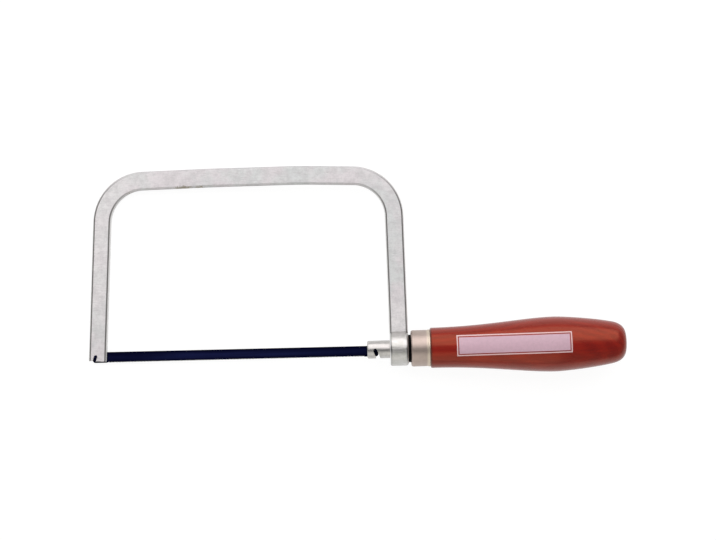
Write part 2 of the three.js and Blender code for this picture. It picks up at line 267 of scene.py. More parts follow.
def newPiece(name):
    piece = bpy.context.object
    piece.name = name
    piece.data.name = name
    return piece


def roundCorner(before, corner, after, radius, count):
    back = (Vector(before) - Vector(corner)).normalized()
    ahead = (Vector(after) - Vector(corner)).normalized()
    half = back.angle(ahead) / 2
    centre = Vector(corner) + (back + ahead).normalized() * (radius / math.sin(half))
    start = Vector(corner) + back * (radius / math.tan(half)) - centre
    end = Vector(corner) + ahead * (radius / math.tan(half)) - centre
    sweep = start.angle_signed(end)
    spots = []
    for step in range(count + 1):
        turn = -sweep * step / count
        x = start.x * math.cos(turn) - start.y * math.sin(turn)
        y = start.x * math.sin(turn) + start.y * math.cos(turn)
        spots.append((centre.x + x, centre.y + y))
    return spots


# A profile is a list of (along, radius), or (along, radius, rounding) at a corner
def profileSpots(profile, closed, count=5):
    spots = []
    last = len(profile) - 1
    for i, corner in enumerate(profile):
        inside = closed or 0 < i < last
        if len(corner) == 3 and inside:
            before, after = profile[i - 1][:2], profile[(i + 1) % len(profile)][:2]
            spots.extend(roundCorner(before, corner[:2], after, corner[2], count))
        else:
            spots.append(tuple(corner[:2]))
    return spots


# A turned piece: a single vertex is extruded along the profile and spun about the tool axis
def turnPiece(name, spots, steps, closed=False):
    clearSelection()
    bpy.ops.mesh.primitive_plane_add(size=1)
    piece = newPiece(name)
    modeTo("EDIT")
    bpy.ops.mesh.select_mode(type="VERT")
    bpy.ops.mesh.select_all(action="SELECT")
    bpy.ops.mesh.merge(type="CENTER")
    bpy.ops.transform.translate(value=(spots[0][0], 0, spots[0][1]))
    rest = spots[1:] + ([spots[0]] if closed else [])
    here = spots[0]
    for spot in rest:
        step = (spot[0] - here[0], 0, spot[1] - here[1])
        bpy.ops.mesh.extrude_region_move(TRANSFORM_OT_translate={"value": step})
        here = spot
    bpy.ops.mesh.select_all(action="SELECT")
    bpy.ops.mesh.remove_doubles(threshold=1e-4)
    bpy.ops.mesh.select_all(action="SELECT")
    bpy.ops.mesh.spin(steps=steps, angle=math.tau, center=(0, 0, 0), axis=(1, 0, 0))
    bpy.ops.mesh.select_all(action="SELECT")
    bpy.ops.mesh.remove_doubles(threshold=1e-4)
    bpy.ops.mesh.normals_make_consistent(inside=False)
    modeTo("OBJECT")
    return piece


def addBox(name, low, high):
    clearSelection()
    middle = [(a + b) / 2 for a, b in zip(low, high)]
    size = [b - a for a, b in zip(low, high)]
    bpy.ops.mesh.primitive_cube_add(size=1, location=middle)
    box = newPiece(name)
    box.scale = size
    bpy.ops.object.transform_apply(location=True, rotation=True, scale=True)
    return box


def cutAway(piece, cutter):
    activate(piece)
    modifier = piece.modifiers.new("cut", "BOOLEAN")
    modifier.operation = "DIFFERENCE"
    modifier.solver = "EXACT"
    modifier.object = cutter
    bpy.ops.object.modifier_apply(modifier="cut")
    bpy.data.objects.remove(cutter)


overrun = 6.0  # of a cutter past an open end


# A pin's notch: a box whose two top edges are rounded over into the closed end
def notchCutter(place, width, openEnd, depth, lean):
    cutter = addBox("notch", (-width / 2, -openEnd, -depth / 2), (width / 2, width / 2, depth / 2))
    modeTo("EDIT")
    bpy.ops.mesh.select_mode(type="EDGE")
    bpy.ops.mesh.select_all(action="DESELECT")
    shape = bmesh.from_edit_mesh(cutter.data)
    for edge in shape.edges:
        ends = [v.co for v in edge.verts]
        edge.select_set(all(c.y > 0 for c in ends) and abs(ends[0].x - ends[1].x) < 1e-6)
    bmesh.update_edit_mesh(cutter.data)
    bpy.ops.mesh.bevel(offset=width / 2 - 1e-3, segments=10, affect="EDGES")
    modeTo("OBJECT")
    cutter.rotation_euler = (0, 0, math.radians(lean))
    cutter.location = (*place, 0)
    activate(cutter)
    bpy.ops.object.transform_apply(location=True, rotation=True, scale=True)
    return cutter


def slitCutter(fromX, toX, low, pinY):
    half = blade["thickness"] / 2 + blade["slitClearance"]
    top = pinY + blade["height"] / 2 - blade["pinAboveMiddle"] + blade["slitRoom"]
    return addBox("slit", (fromX, low, -half), (toX, top, half))


def setAttribute(piece, name, values):
    attribute = piece.data.attributes.new(name, "FLOAT", "POINT")
    attribute.data.foreach_set("value", values)


# How far each vertex lies on a convex edge, for wear that follows the shape
def markEdges(piece, flatAngle=6.0, fullAngle=15.0):
    shape = bmesh.new()
    shape.from_mesh(piece.data)
    values = []
    for vertex in shape.verts:
        turns = [e.calc_face_angle_signed(0.0) for e in vertex.link_edges if e.is_manifold]
        most = math.degrees(max(turns, default=0.0))
        values.append(min(1.0, max(0.0, (most - flatAngle) / (fullAngle - flatAngle))))
    shape.free()
    setAttribute(piece, "edge", values)


# Millimetres about the tool axis become metres in the frame
def settle(piece):
    piece.scale = (millimetre,) * 3
    piece.location = toolOrigin
    activate(piece)
    bpy.ops.object.transform_apply(location=True, rotation=True, scale=True)


def dressPiece(piece, material, body, node=None):
    piece.data.materials.clear()
    piece.data.materials.append(material)
    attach(piece, body)
    if node:
        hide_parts(node)
    print(piece.name, "made,", len(piece.data.polygons), "faces")


def finishPiece(piece, material, body, node):
    markEdges(piece)
    settle(piece)
    bpy.ops.object.shade_smooth_by_angle(angle=math.radians(32))
    dressPiece(piece, material, body, node)


# Shared effects as node groups
def newGroup(name, inputs, outputs):
    group = bpy.data.node_groups.new(name, "ShaderNodeTree")
    for label, kind, value in inputs:
        socket = group.interface.new_socket(label, in_out="INPUT", socket_type=kind)
        if value is not None:
            socket.default_value = value
    for label, kind in outputs:
        group.interface.new_socket(label, in_out="OUTPUT", socket_type=kind)
    return group, addNode(group, "NodeGroupInput"), addNode(group, "NodeGroupOutput")


def groupMask(tree, group, inputs):
    return addNode(tree, "ShaderNodeGroup", inputs, node_tree=group).outputs["Mask"]


# Cloudy mottling at two sizes
def makeMottle():
    inputs = [("Vector", "NodeSocketVector", None), ("Size", "NodeSocketFloat", 400.0)]
    group, start, end = newGroup("mottle", inputs, [("Mask", "NodeSocketFloat")])
    coarse = noise(group, start.outputs["Vector"], start.outputs["Size"], 2.0)
    finer = maths(group, "MULTIPLY", start.outputs["Size"], 3.7)
    fine = noise(group, start.outputs["Vector"], finer, 3.0)
    both = weigh(group, coarse, 0.6, fine, 0.4)
    group.links.new(spread(group, both, 0.3, 0.7, smooth=True), end.inputs["Mask"])
    return group


# Fine lines around a turned piece, along its X axis
def makeTurningLines():
    inputs = [("Vector", "NodeSocketVector", None), ("Lines", "NodeSocketFloat", 6000.0)]
    group, start, end = newGroup("turning_lines", inputs, [("Mask", "NodeSocketFloat")])
    parts = axes(group, start.outputs["Vector"])
    along = maths(group, "MULTIPLY", parts["X"], start.outputs["Lines"])
    slow = {axis: maths(group, "MULTIPLY", parts[axis], 20.0) for axis in "YZ"}
    line = addNode(group, "ShaderNodeCombineXYZ", {"X": along, **slow})
    mask = spread(group, noise(group, line.outputs[0], 1.0, 2.0), 0.3, 0.7)
    group.links.new(mask, end.inputs["Mask"])
    return group


# Wear on convex edges, broken up by noise; it reads the piece's own edge attribute
def makeEdgeWear():
    inputs = [("Vector", "NodeSocketVector", None), ("Breakup", "NodeSocketFloat", 700.0)]
    group, start, end = newGroup("edge_wear", inputs, [("Mask", "NodeSocketFloat")])
    broken = noise(group, start.outputs["Vector"], start.outputs["Breakup"], 4.0)
    worn = maths(group, "MULTIPLY", readAttribute(group, "edge"), spread(group, broken, 0.38, 0.62))
    group.links.new(worn, end.inputs["Mask"])
    return group


# Short slanting tool marks
def makeFineMarks():
    inputs = [("Vector", "NodeSocketVector", None)]
    group, start, end = newGroup("fine_marks", inputs, [("Mask", "NodeSocketFloat")])
    slants = []
    for slant, size in ((35, 1.0), (-50, 1.3)):
        turn = {"Rotation": (0, 0, math.radians(slant)), "Scale": (150 * size, 1100 * size, 600)}
        turned = addNode(group, "ShaderNodeMapping", {"Vector": start.outputs["Vector"], **turn})
        slants.append(spread(group, noise(group, turned.outputs[0], 1.0, 2.0), 0.58, 0.68))
    group.links.new(maths(group, "MAXIMUM", *slants), end.inputs["Mask"])
    return group


mottle = makeMottle()
fineMarks = makeFineMarks()
turningLines = makeTurningLines()
edgeWear = makeEdgeWear()


def newMaterial(name, **values):
    material = bpy.data.materials.new(name)
    material.use_nodes = True
    shader = material.node_tree.nodes["Principled BSDF"]
    for label, value in values.items():
        shader.inputs[label.replace("_", " ")].default_value = value
    return material, material.node_tree, shader


def feed(tree, shader, **sockets):
    for label, socket in sockets.items():
        tree.links.new(socket, shader.inputs[label.replace("_", " ")])


# Bow: a flat bar, bent edgewise at its corners and rolled flatwise into the eye
bow = {
    "thickness": 4.0,
    "edge": 1.3,
    "edgeSegments": 6,
    "bendStep": 3.0,
    "height": 94.9,
    "frontLegInset": 0.8,  # leg's mid-line behind the front pin
    "frontLean": 3.6,
    "rearLean": 0.5,
    "frontDroop": 0.9,
    "rearDroop": 2.4,
    "frontDroopLength": 62.0,
    "rearDroopLength": 50.0,
    "frontCorner": 22.9,
    "rearCorner": 22.2,
    "droopBend": 400.0,
    "neck": 8.0,
    "setBack": 4.0,
    "eyeRadius": 7.1,  # mid-line
    "seam": 0.04,
    "noseDrop": 1.55,
    "notchWidth": 1.8,
    "notchLean": -20.0,
    "strip": 0.25,  # of the flats, beside the rounding
    "legSlim": 0.42,  # off the front leg's outer side
    "cool": (0.725, 0.748, 0.748, 1),
    "pink": (0.78, 0.748, 0.768, 1),
    # Painted light for the front leg and the leg just above the eye
    "paintedLight": (0.85, 0.835, 0.84, 1),
    "dull": (0.44, 0.43, 0.44, 1),
    # Painted shade along the bar's rounded edges, and a painted highlight rim beside it
    "line": (0.17, 0.165, 0.165, 1),
    "rim": (0.90, 0.90, 0.89, 1),
    "eye": (0.62, 0.605, 0.60, 1),
    "eyeDull": (0.53, 0.53, 0.50, 1),
    "stain": (0.30, 0.27, 0.20, 1),
    "stains": (  # place and reach of each
        ((-113.0, 89.5), (5.5, 1.6)),
        ((-104.0, 89.6), (2.8, 1.3)),
        ((-138.0, 87.6), (5.0, 1.2)),
    ),
}
blade = {
    "thickness": 0.65,
    "height": 5.7,
    "pinAboveMiddle": 0.5,
    "pinSpan": 150.0,
    "frontPinY": 0.85,
    "rearPin": (-12.9, -0.3),
    "slitClearance": 0.2,
    "slitRoom": 0.5,
    "navy": (0.0006, 0.0009, 0.012, 1),
    "streak": (0.0065, 0.0090, 0.046, 1),
}


tilt = math.asin((blade["frontPinY"] - blade["rearPin"][1]) / blade["pinSpan"])
frontPin = (blade["rearPin"][0] - blade["pinSpan"] * math.cos(tilt), blade["frontPinY"])
frontLegX = frontPin[0] + bow["frontLegInset"]
legLean = math.radians(bow["frontLean"])
legAcross = Vector((math.cos(legLean), -math.sin(legLean)))
legAlong = Vector((math.sin(legLean), math.cos(legLean)))
flatHalf = barWidth / 2 - bow["edge"]  # of the bar's flat sides


# Straight runs and bends through corners given as (x, y, radius)
def barMoves(corners):
    moves = []
    here = Vector(corners[0][:2])
    for i in range(1, len(corners) - 1):
        corner, radius = Vector(corners[i][:2]), corners[i][2]
        back = (Vector(corners[i - 1][:2]) - corner).normalized()
        ahead = (Vector(corners[i + 1][:2]) - corner).normalized()
        half = back.angle(ahead) / 2
        start = corner + back * (radius / math.tan(half))
        centre = corner + (back + ahead).normalized() * (radius / math.sin(half))
        clockwise = back.cross(ahead) > 0
        sweep = math.pi - 2 * half
        moves.append(("run", start - here))
        moves.append(("bend", centre, sweep if clockwise else -sweep))
        here = corner + ahead * (radius / math.tan(half))
    moves.append(("run", Vector(corners[-1][:2]) - here))
    return moves


def bendBar(sweep, centre, axis):
    steps = max(3, math.ceil(abs(math.degrees(sweep)) / bow["bendStep"]))
    bpy.ops.mesh.spin(steps=steps, angle=sweep, center=centre, axis=axis)


# The front leg is a little narrower than the back, which fades out around the corner
def slimLeg(piece, centre):
    reach = bow["frontCorner"] + flatHalf - bow["strip"] - 0.01
    for vertex in piece.data.vertices:
        away = vertex.co.xy - centre
        onLeg = away.dot(legAlong) < 0
        far = -away.dot(legAcross) if onLeg else away.length
        outward = -legAcross if onLeg else away.normalized()
        if far > reach and outward.x < 0:
            amount = min(1.0, outward.x ** 2 / legAcross.x ** 2)
            vertex.co.xy -= outward * bow["legSlim"] * amount


def makeBow():
    setBackY = math.sqrt((bow["eyeRadius"] + bow["setBack"]) ** 2 - bow["setBack"] ** 2)
    neckY = setBackY + bow["neck"]
    frontSlope = math.tan(math.radians(bow["frontDroop"]))
    frontTilt = math.tan(math.radians(bow["frontLean"]))
    rearSlope = math.tan(math.radians(bow["rearDroop"]))
    rearTilt = math.tan(math.radians(bow["rearLean"]))
    frontY = (bow["height"] - bow["frontDroopLength"] * frontSlope) / (1 - frontSlope * frontTilt)
    rearRise = bow["height"] - bow["rearDroopLength"] * rearSlope - neckY
    rearY = neckY + rearRise / (1 - rearSlope * rearTilt)
    noseX = frontLegX - bow["noseDrop"] * frontTilt
    corners = [
        (noseX, -bow["noseDrop"]),
        (frontLegX + frontY * frontTilt, frontY, bow["frontCorner"]),
        (frontLegX + bow["frontDroopLength"], bow["height"], bow["droopBend"]),
        (-bow["rearDroopLength"], bow["height"], bow["droopBend"]),
        ((neckY - rearY) * rearTilt, rearY, bow["rearCorner"]),
        (0, neckY, bow["droopBend"]),
        (0, setBackY),
    ]

    # The bar's section at the nose, with its corners rounded
    clearSelection()
    nose = Vector((noseX, -bow["noseDrop"], 0))
    turn = (math.pi / 2, 0, -legLean)
    bpy.ops.mesh.primitive_plane_add(size=1, location=nose, rotation=turn)
    piece = newPiece("bow_bar")
    piece.scale = (barWidth, bow["thickness"], 1)
    bpy.ops.object.transform_apply(location=True, rotation=True, scale=True)
    modeTo("EDIT")
    bpy.ops.mesh.select_mode(type="FACE")
    bpy.ops.mesh.select_all(action="SELECT")
    bpy.ops.mesh.bevel(affect="VERTICES", offset=bow["edge"], segments=bow["edgeSegments"])
    across = legAcross.to_3d()
    for way in (-1, 1):
        spot = nose + across * way * (flatHalf - bow["strip"])
        bpy.ops.mesh.select_all(action="SELECT")
        bpy.ops.mesh.bisect(plane_co=spot, plane_no=across)
    bpy.ops.mesh.select_mode(type="FACE")
    bpy.ops.mesh.select_all(action="SELECT")

    # Up the front leg, along the back and down the rear leg
    moves = barMoves(corners)
    for move in moves:
        if move[0] == "run":
            step = (move[1].x, move[1].y, 0)
            bpy.ops.mesh.extrude_region_move(TRANSFORM_OT_translate={"value": step})
        else:
            bendBar(move[2], (move[1].x, move[1].y, 0), (0, 0, 1))

    # Back from the leg, then around the rod to the seam
    meet = math.atan2(-bow["setBack"], setBackY)
    rim = bow["eyeRadius"] + bow["thickness"] / 2
    inner = bow["setBack"] + bow["thickness"] / 2
    reach = bow["eyeRadius"] + bow["setBack"]
    legAngle = meet + math.acos((reach ** 2 + rim ** 2 - inner ** 2) / (2 * reach * rim))
    backSweep = -(math.pi / 2 + meet)
    eyeSweep = math.tau - (legAngle + bow["seam"] / rim - meet)
    bendBar(backSweep, (0, setBackY, -bow["setBack"]), (1, 0, 0))
    bendBar(eyeSweep, (0, 0, 0), (1, 0, 0))
    bpy.ops.mesh.select_all(action="SELECT")
    bpy.ops.mesh.remove_doubles(threshold=1e-4)
    bpy.ops.mesh.normals_make_consistent(inside=False)
    modeTo("OBJECT")
    slimLeg(piece, moves[1][1])

    # The nose: a slit for the blade and a notch for its pin
    low, depth = -bow["noseDrop"] - overrun, 2 * bow["thickness"]
    cutAway(piece, slitCutter(frontLegX - barWidth, frontLegX + barWidth, low, frontPin[1]))
    cutAway(piece, notchCutter(frontPin, bow["notchWidth"], -low, depth, bow["notchLean"]))
    return piece


# How far each vertex lies around the bar's rounded edge, none on the flats and one on the narrow
# sides, how much that edge faces along the tool axis, and how deep its painted shade line is
def markSides(piece):
    eyeReach, noseReach = 12.0, 8.0
    sides, endways, lines = [], [], []
    for vertex in piece.data.vertices:
        x, y, z = vertex.co
        if y < eyeReach and x > -barWidth:
            around = min(1.0, max(0.0, (abs(x) - flatHalf) / bow["edge"]))
            sides.append(1 - math.sqrt(1 - around ** 2))
        else:
            sides.append(min(1.0, (bow["thickness"] / 2 - abs(z)) / bow["edge"]))
        level = max(0.01, math.hypot(vertex.normal.x, vertex.normal.y))
        atNose = x < frontLegX + barWidth and y < noseReach
        endways.append(1.0 if atNose else min(1.0, abs(vertex.normal.x) / level))
        lines.append(0.2 + 0.8 * endways[-1] ** 2 + 0.12 * max(0.0, vertex.normal.y / level))
    for name, values in (("side", sides), ("endways", endways), ("line", lines)):
        setAttribute(piece, name, values)


# One inside the rolled eye, fading out up the leg
def eyeMask(tree):
    place = axes(tree, objectPlace(tree, toolOrigin))
    low, rear = fade(tree, place["Y"], 10.0, 8.5), fade(tree, place["X"], -12.0, -11.0)
    return maths(tree, "MULTIPLY", low, rear)


# Brown stains on the inner edge of the back
def stainMask(tree):
    ragged = spread(tree, noise(tree, objectPlace(tree), 1300.0, 3.0), 0.3, 0.7, -0.45, 0.45)
    stained = 0.0
    for place, reach in bow["stains"]:
        centre = toolOrigin + Vector((*place, bow["thickness"] / 2)) * millimetre
        stretch = [1 / (r * millimetre) for r in (*reach, bow["edge"] * 1.5)]
        far = vectorMaths(tree, "LENGTH", objectPlace(tree, centre, stretch))["Value"]
        spot = spread(tree, maths(tree, "ADD", far, ragged), 1.1, 0.5, smooth=True)
        stained = maths(tree, "MAXIMUM", spot, stained)
    return stained


# Painted shade: a dark line where the flats turn over into the narrow sides, and a painted
# highlight rim outside it
def paintedEdgeShadeAndRim(tree, colour):
    side = readAttribute(tree, "side")
    inner = spread(tree, side, 0.0, 0.02, smooth=True)
    line = maths(tree, "MULTIPLY", inner, readAttribute(tree, "line"))
    outer = spread(tree, side, 0.14, 0.38, smooth=True)
    rim = maths(tree, "MULTIPLY", outer, readAttribute(tree, "endways"))
    colour = mixColour(tree, line, colour, bow["line"])
    return mixColour(tree, rim, colour, bow["rim"]), inner


def satinNickel():
    material, tree, shader = newMaterial("satin_nickel", Specular_IOR_Level=0.3)
    place = objectPlace(tree)
    cloud = groupMask(tree, mottle, {"Vector": place, "Size": 330.0})
    marks = groupMask(tree, fineMarks, {"Vector": place})
    tint = spread(tree, noise(tree, place, 75.0, 3.0), 0.36, 0.64, smooth=True)
    colour = mixColour(tree, tint, bow["cool"], bow["pink"])
    alongX, alongY = axes(tree, objectPlace(tree, toolOrigin))[:2]
    # Painted light: the front leg and the leg just above the eye are made brighter in the colour
    paintedLightFrontLeg = fade(tree, alongX, -120, -158, 0.65)
    paintedLightFrontLeg = maths(tree, "MULTIPLY", paintedLightFrontLeg, fade(tree, alongY, 0, 40))
    paintedLightAboveEye = fade(tree, alongY, 32, 14, 0.85)
    paintedLightAboveEye = maths(tree, "MULTIPLY", paintedLightAboveEye, fade(tree, alongX, -100, -50))
    colour = mixColour(tree, maths(tree, "MAXIMUM", paintedLightFrontLeg, paintedLightAboveEye), colour, bow["paintedLight"])
    colour = mixColour(tree, maths(tree, "MULTIPLY", cloud, 0.38), colour, bow["dull"])
    colour = mixColour(tree, maths(tree, "MULTIPLY", marks, 0.14), colour, bow["dull"])
    eye = eyeMask(tree)
    colour = mixColour(tree, eye, colour, mixColour(tree, cloud, bow["eye"], bow["eyeDull"]))
    colour, turned = paintedEdgeShadeAndRim(tree, colour)
    colour = mixColour(tree, maths(tree, "MULTIPLY", stainMask(tree), 0.85), colour, bow["stain"])
    rough = spread(tree, cloud, 0.0, 1.0, 0.56, 0.66)
    rough = maths(tree, "MULTIPLY", rough, spread(tree, eye, 0.0, 1.0, 1.0, 0.66))
    rough = maths(tree, "MULTIPLY", rough, spread(tree, turned, 0.0, 1.0, 1.0, 0.75))
    bare = maths(tree, "MULTIPLY", paintedLightAboveEye, -0.25)
    metal = maths(tree, "ADD", spread(tree, eye, 0.0, 1.0, 0.4, 1.2), bare, clamp=True)
    relief = bump(tree, maths(tree, "SUBTRACT", cloud, marks), 0.00003)
    feed(tree, shader, Base_Color=colour, Roughness=rough, Metallic=metal, Normal=relief)
    return material


bowBar = makeBow()
markSides(bowBar)
finishPiece(bowBar, satinNickel(), "frame", "frame")


# Blade: the imported blade with its teeth and wavy set, merged and smoothed. Its colour is palest
# along the middle and darker towards the edges and ends
def paleMiddle(tree):
    middleX = (frontPin[0] + blade["rearPin"][0]) / 2
    middleY = (frontPin[1] + blade["rearPin"][1]) / 2 - blade["pinAboveMiddle"]
    centre = toolOrigin + Vector((middleX, middleY, 0)) * millimetre
    alongX, alongY = axes(tree, objectPlace(tree, centre))[:2]
    fall = maths(tree, "MULTIPLY", alongX, math.tan(tilt))
    off = maths(tree, "ABSOLUTE", maths(tree, "ADD", alongY, fall))
    fromMiddle = maths(tree, "ABSOLUTE", alongX)
    ends = spread(tree, fromMiddle, 0.020, 0.060, 1.0, 0.45, smooth=True)
    return maths(tree, "MULTIPLY", fade(tree, off, 2.6, 0.3), ends)


def bluedSteel():
    material, tree, shader = newMaterial("blued_steel", Metallic=0.0, Specular_IOR_Level=0.02)
    streaks = objectPlace(tree, stretch=(30, 900, 900))
    mask = spread(tree, noise(tree, streaks, 1.0, 3.0), 0.35, 0.7)
    pale = maths(tree, "MULTIPLY", paleMiddle(tree), spread(tree, mask, 0.0, 1.0, 0.6, 1.3))
    colour = mixColour(tree, pale, blade["navy"], blade["streak"])
    rough = spread(tree, mask, 0.0, 1.0, 0.5, 0.38)
    feed(tree, shader, Base_Color=colour, Roughness=rough)
    return material


def makeBlade():
    piece = bpy.data.objects.new("saw_blade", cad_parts["blade"].data.copy())
    bpy.context.scene.collection.objects.link(piece)
    activate(piece)
    bpy.ops.mesh.customdata_custom_splitnormals_clear()
    modeTo("EDIT")
    bpy.ops.mesh.select_all(action="SELECT")
    bpy.ops.mesh.remove_doubles(threshold=1e-7)
    modeTo("OBJECT")
    bpy.ops.object.shade_smooth_by_angle(angle=math.radians(25))
    return piece


blued = bluedSteel()
dressPiece(makeBlade(), blued, "blade", "blade")


# Pins: short rods through the blade's ends
pin = {"diameter": 1.4, "length": 5.0, "chamfer": 0.2}


def makePin(name, place):
    clearSelection()
    size = {"radius": pin["diameter"] / 2, "depth": pin["length"]}
    bpy.ops.mesh.primitive_cylinder_add(vertices=32, location=(*place, 0), **size)
    bpy.ops.object.transform_apply(location=True, rotation=True, scale=True)
    piece = newPiece(name)
    modeTo("EDIT")
    bpy.ops.mesh.select_mode(type="EDGE")
    bpy.ops.mesh.select_all(action="DESELECT")
    shape = bmesh.from_edit_mesh(piece.data)
    for edge in shape.edges:
        edge.select_set(abs(edge.verts[0].co.z - edge.verts[1].co.z) < 1e-6)
    bmesh.update_edit_mesh(piece.data)
    bpy.ops.mesh.bevel(offset=pin["chamfer"], segments=3, affect="EDGES")
    modeTo("OBJECT")
    return piece


for name, node, place in (
    ("front_pin", "front_blade_pin", frontPin),
    ("rear_pin", "rear_blade_pin", blade["rearPin"]),
):
    finishPiece(makePin(name, place), blued, "blade", node)


# Tension rod: slotted and notched head, then a shank with a thread
rod = {
    "end": -17.1,
    "radius": 4.8,
    "chamfer": 0.5,
    "shoulder": 1.0,
    "shankRadius": 3.0,
    "shankEnd": 23.4,
    "threadFrom": 6.0,
    "pitch": 1.0,
    "threadDepth": 0.55,
    "slitEnd": -8.2,
    "notchWidth": 2.1,
    "notchLean": 20.0,
    "steps": 72,
    "colour": (0.56, 0.545, 0.53, 1),
}


def makeRod():
    thread = []
    count = round((rod["shankEnd"] - rod["chamfer"] - rod["threadFrom"]) / (rod["pitch"] / 8))
    for i in range(count + 1):
        thread.append((rod["threadFrom"] + i * rod["pitch"] / 8, rod["shankRadius"]))
    profile = [
        (rod["end"], 0),
        (rod["end"], rod["radius"] - rod["chamfer"], 0.2),
        (rod["end"] + rod["chamfer"], rod["radius"], 0.2),
        (rod["shoulder"] - rod["chamfer"], rod["radius"]),
        (rod["shoulder"], rod["radius"] - rod["chamfer"]),
        (rod["shoulder"], rod["shankRadius"], 0.3),
        *thread,
        (rod["shankEnd"], rod["shankRadius"] - rod["chamfer"] - 0.1),
        (rod["shankEnd"], 0),
    ]
    piece = turnPiece("tension_rod_turned", profileSpots(profile, False, 3), rod["steps"])

    # The thread is a valley that winds once around the shank in each pitch
    for vertex in piece.data.vertices:
        radius = math.hypot(vertex.co.y, vertex.co.z)
        if vertex.co.x < rod["threadFrom"] or abs(radius - rod["shankRadius"]) > 1e-3:
            continue
        turn = math.atan2(vertex.co.z, vertex.co.y) / math.tau
        phase = (vertex.co.x / rod["pitch"] - turn) % 1.0
        fade = min(1.0, (vertex.co.x - rod["threadFrom"]) / rod["pitch"])
        deep = rod["threadDepth"] * fade * (1 - abs(2 * phase - 1))
        vertex.co.y *= 1 - deep / radius
        vertex.co.z *= 1 - deep / radius

    rearPin = blade["rearPin"]
    cutAway(piece, slitCutter(rod["end"] - overrun, rod["slitEnd"], -2 * rod["radius"], rearPin[1]))
    openEnd, depth = rod["radius"] + overrun, 4 * rod["radius"]
    cutAway(piece, notchCutter(rearPin, rod["notchWidth"], openEnd, depth, rod["notchLean"]))
    return piece


def rodNickel():
    material, tree, shader = newMaterial("rod_nickel", Metallic=1.0)
    place = objectPlace(tree, toolOrigin)
    lines = groupMask(tree, turningLines, {"Vector": place, "Lines": 7000.0})
    cloud = groupMask(tree, mottle, {"Vector": place, "Size": 450.0})
    dark = tuple(c * 0.8 for c in rod["colour"][:3]) + (1,)
    colour = mixColour(tree, cloud, rod["colour"], dark)
    rough = spread(tree, lines, 0.0, 1.0, 0.28, 0.4)
    feed(tree, shader, Base_Color=colour, Roughness=rough, Normal=bump(tree, lines, 0.00001))
    return material


finishPiece(makeRod(), rodNickel(), "tension_rod", "tension_rod")


# Thrust washer
washer = {
    "front": 5.1,
    "thickness": 1.2,
    "hole": 3.3,
    "radius": 7.4,
    "edge": 0.25,
    "colour": (0.0015, 0.0015, 0.002, 1),
    "worn": (0.008, 0.008, 0.009, 1),
}


def makeWasher():
    back = washer["front"] + washer["thickness"]
    profile = [
        (washer["front"], washer["hole"], 0.12),
        (washer["front"], washer["radius"], washer["edge"]),
        (back, washer["radius"], washer["edge"]),
        (back, washer["hole"], 0.12),
    ]
    return turnPiece("black_washer", profileSpots(profile, True, 4), 96, closed=True)


def blackOxide():
    material, tree, shader = newMaterial("black_oxide", Specular_IOR_Level=0.03)
    place = objectPlace(tree, toolOrigin)
    wear = groupMask(tree, edgeWear, {"Vector": place, "Breakup": 900.0})
    cloud = groupMask(tree, mottle, {"Vector": place, "Size": 600.0})
    colour = mixColour(tree, wear, washer["colour"], washer["worn"])
    rough = spread(tree, cloud, 0.0, 1.0, 0.4, 0.55)
    feed(tree, shader, Base_Color=colour, Roughness=rough)
    return material


finishPiece(makeWasher(), blackOxide(), "handle", "thrust_washer")


# Ferrule: a drawn cup with a rolled bead around its open end
ferrule = {
    "front": 6.4,
    "length": 10.3,
    "radius": 9.75,
    "wall": 0.9,
    "hole": 3.3,
    "edge": 1.0,
    "beadWidth": 1.3,
    "beadHeight": 0.22,
    "colour": (0.475, 0.392, 0.352, 1),
    "dull": (0.39, 0.325, 0.285, 1),
    "bead": (0.60, 0.52, 0.43, 1),
}


def beadSpots():
    width, height = ferrule["beadWidth"], ferrule["beadHeight"]
    crown = (width ** 2 / 4 + height ** 2) / (2 * height)
    middle = ferrule["front"] + ferrule["length"] - width / 2
    reach = math.asin(width / 2 / crown)
    spots = []
    for i in range(9):
        turn = reach * (i / 4 - 1)
        radius = ferrule["radius"] + height - crown + crown * math.cos(turn)
        spots.append((middle + crown * math.sin(turn), radius))
    return spots


def makeFerrule():
    front = ferrule["front"]
    back = front + ferrule["length"]
    inner = ferrule["radius"] - ferrule["wall"]
    profile = [
        (front, ferrule["hole"], 0.15),
        (front, ferrule["radius"], ferrule["edge"]),
        *beadSpots(),
        (back, inner, 0.15),
        (front + ferrule["wall"], inner, 0.5),
        (front + ferrule["wall"], ferrule["hole"], 0.15),
    ]
    return turnPiece("ferrule_cup", profileSpots(profile, True, 5), 112, closed=True)


def warmNickel():
    material, tree, shader = newMaterial("warm_nickel", Metallic=1.0)
    place = objectPlace(tree, toolOrigin)
    lines = groupMask(tree, turningLines, {"Vector": place, "Lines": 9000.0})
    cloud = groupMask(tree, mottle, {"Vector": place, "Size": 280.0})
    colour = mixColour(tree, maths(tree, "MULTIPLY", cloud, 0.5), ferrule["colour"], ferrule["dull"])
    # Painted highlight: the bead and the end behind it are lighter in the colour
    beadFront = ferrule["front"] + ferrule["length"] - ferrule["beadWidth"]
    beadHighlight = fade(tree, axes(tree, place)["X"], beadFront - 1.2, beadFront)
    colour = mixColour(tree, beadHighlight, colour, ferrule["bead"])
    rough = spread(tree, lines, 0.0, 1.0, 0.38, 0.50)
    feed(tree, shader, Base_Color=colour, Roughness=rough, Normal=bump(tree, lines, 0.000008))
    return material


finishPiece(makeFerrule(), warmNickel(), "handle", "ferrule")


# Nut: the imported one, out of sight in the wood
nut = {"colour": (0.62, 0.62, 0.63, 1), "dull": (0.50, 0.50, 0.48, 1)}


def zincPlate():
    material, tree, shader = newMaterial("zinc_plate", Metallic=1.0)
    place = objectPlace(tree, toolOrigin)
    cloud = groupMask(tree, mottle, {"Vector": place, "Size": 500.0})
    colour = mixColour(tree, cloud, nut["colour"], nut["dull"])
    feed(tree, shader, Base_Color=colour, Roughness=spread(tree, cloud, 0.0, 1.0, 0.35, 0.5))
    return material


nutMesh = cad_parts["tension_nut"].data
nutMesh.materials.clear()
nutMesh.materials.append(zincPlate())


